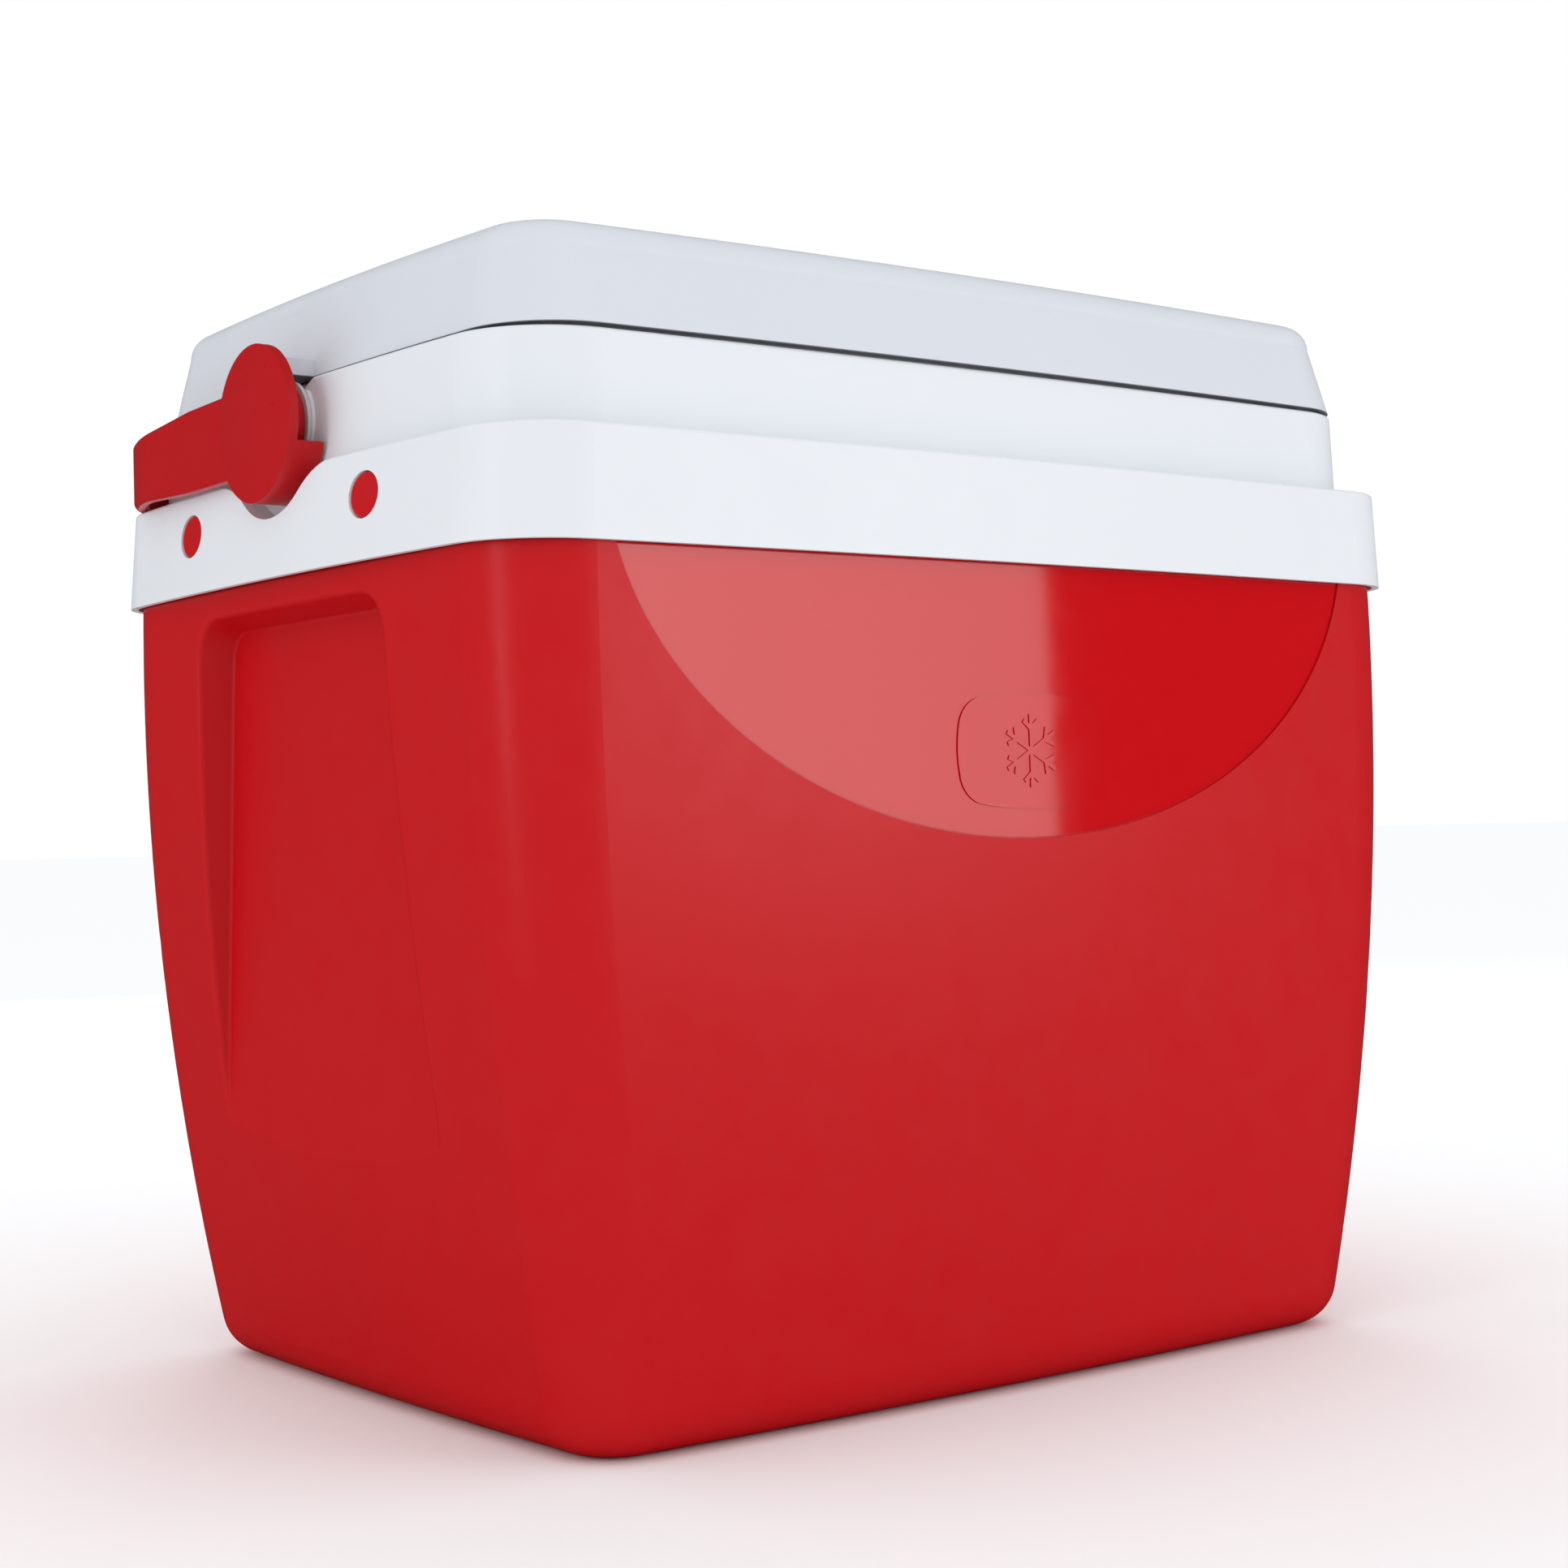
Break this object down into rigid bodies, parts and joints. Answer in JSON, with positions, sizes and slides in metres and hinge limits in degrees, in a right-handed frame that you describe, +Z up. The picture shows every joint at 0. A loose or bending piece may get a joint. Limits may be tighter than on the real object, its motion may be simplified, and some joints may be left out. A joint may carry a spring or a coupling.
{
  "type": "hard cooler box",
  "caption": "Hard-shell insulated cooler box with a lift-off lid, end grip recesses and a bail handle whose half-open hub rims lock the lid.",
  "frame": {"origin": "centre of the whole object's footprint, on the plane that the base stands on", "axes": "+Z up, +X along the long side, -Y out of the front face that carries the badge; the handle lies back towards +Y at rest"},
  "size_m": [0.4472, 0.3104, 0.4],
  "materials": {
    "shell_red": "satin",
    "handle_red": "satin",
    "collar_white": "satin",
    "lid_white": "satin",
    "liner_white": "satin",
    "bush_white": "satin",
    "foam": "matte"
  },
  "bodies": {
    "box": {"outer_shell": "shell_red", "body_insulation": "foam", "inner_liner": "liner_white", "collar": "collar_white", "pivot_bush_left": "bush_white", "pivot_bush_right": "bush_white"},
    "lid": {"lid_shell": "lid_white", "lid_insulation": "foam", "lid_inner_panel": "liner_white"},
    "handle": {"handle": "handle_red"}
  },
  "joints": [
    {"name": "handle_swing", "type": "hinge", "parent": "box", "child": "handle", "pos_m": [0, 0, 0.3472], "axis": [1, 0, 0], "range_deg": [0, 180]},
    {"name": "lid_lift", "type": "slide", "parent": "box", "child": "lid", "axis": [0, 0, 1], "range_m": [0, 0.15]}
  ]
}
